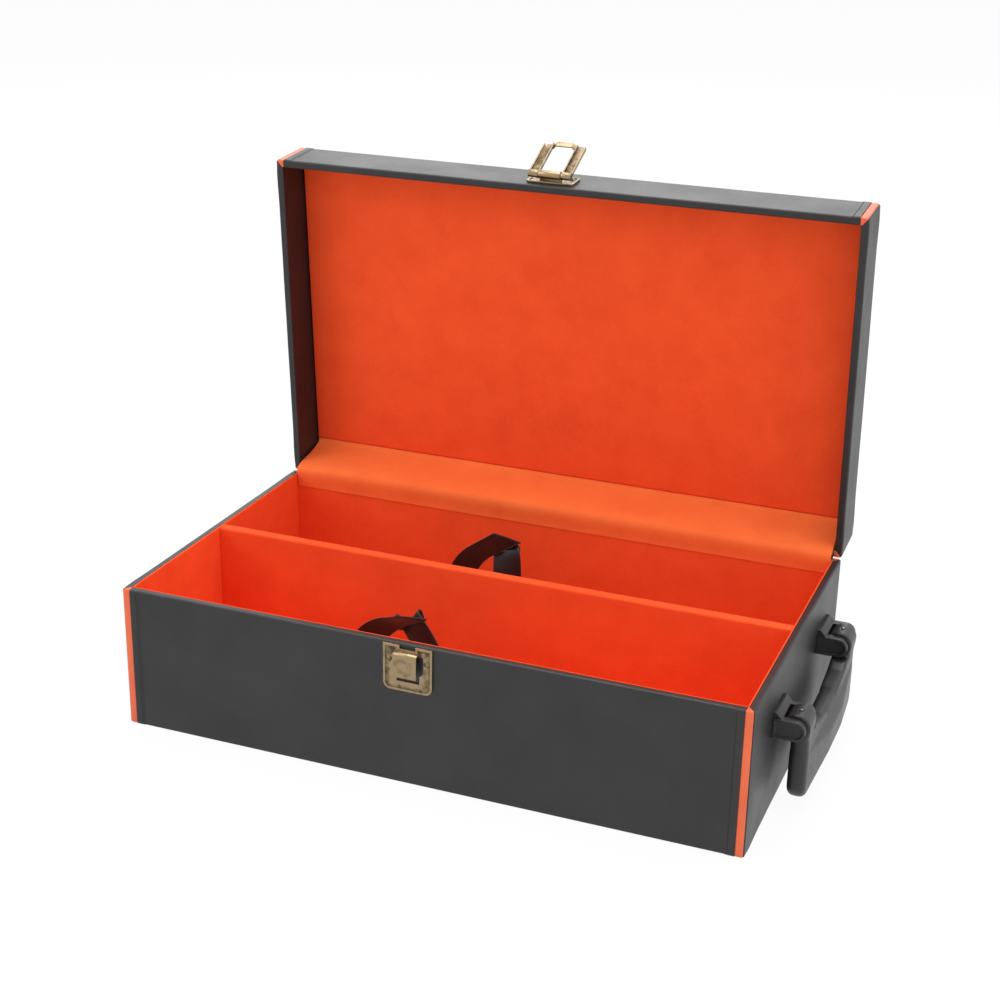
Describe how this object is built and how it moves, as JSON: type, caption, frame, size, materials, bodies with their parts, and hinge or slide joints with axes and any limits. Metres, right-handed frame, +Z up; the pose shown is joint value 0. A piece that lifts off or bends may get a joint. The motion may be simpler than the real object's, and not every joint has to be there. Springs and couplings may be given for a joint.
{
  "type": "wine bottle case",
  "caption": "Leather-covered wine bottle case with a hinged lid standing open, a lined divider, bottle ribbons, a brass hasp and catch, and a swinging end handle.",
  "frame": {"origin": "middle of the base's underside", "axes": "+X along the length towards the handle, +Y towards the hinge, +Z up"},
  "size_m": [0.3717, 0.2359, 0.3004],
  "materials": {
    "board": "matt fibreboard",
    "leather": "fine grain, satin",
    "strip": "fine grain, satin",
    "panel": "suede",
    "band": "suede",
    "lining": "suede",
    "ribbon": "satin ribbon",
    "brass_sheet": "antiqued",
    "brass_pins": "antiqued",
    "handle_plastic": "satin",
    "steel": "plain"
  },
  "bodies": {
    "base": {"bottom_board": "board", "front_board": "board", "back_board": "board", "left_board": "board", "right_board": "board", "bottom_cover": "leather", "front_cover": "leather", "back_cover": "leather", "left_cover": "leather", "right_cover": "leather", "base_strips": "strip", "floor_lining": "lining", "front_lining": "lining", "back_lining": "lining", "left_lining": "lining", "right_lining": "lining", "divider_board": "board", "divider_lining": "lining", "front_left_ribbon": "ribbon", "front_right_ribbon": "ribbon", "back_left_ribbon": "ribbon", "back_right_ribbon": "ribbon", "catch_plate": "brass_sheet", "catch_nails": "brass_pins", "front_handle_mount": "handle_plastic", "back_handle_mount": "handle_plastic", "handle_pins": "steel", "mount_screws": "steel", "hinge_leather": "leather", "hinge_lining": "band"},
    "lid": {"lid_top_board": "board", "lid_front_board": "board", "lid_back_board": "board", "lid_left_board": "board", "lid_right_board": "board", "lid_top_cover": "leather", "lid_front_cover": "leather", "lid_back_cover": "leather", "lid_left_cover": "leather", "lid_right_cover": "leather", "lid_strips": "strip", "lid_panel": "panel", "hasp_plate": "brass_sheet", "hasp_nails": "brass_pins", "hasp_pin": "brass_pins"},
    "hasp": {"hasp_loop": "brass_sheet"},
    "handle": {"handle": "handle_plastic", "handle_studs": "steel"}
  },
  "joints": [
    {"name": "lid_hinge", "type": "hinge", "parent": "base", "child": "lid", "pos_m": [0, 0.1, 0.0813], "axis": [1, 0, 0], "range_deg": [0, 86], "deforming": ["hinge_leather", "hinge_lining"]},
    {"name": "hasp_hinge", "type": "hinge", "parent": "lid", "child": "hasp", "pos_m": [-0.0055, 0.09218, 0.28625], "axis": [1, 0, 0], "range_deg": [-27, 158]},
    {"name": "handle_hinge", "type": "hinge", "parent": "base", "child": "handle", "pos_m": [0.1865, 0.006, 0.0515], "axis": [0, -1, 0], "range_deg": [0, 120]}
  ]
}
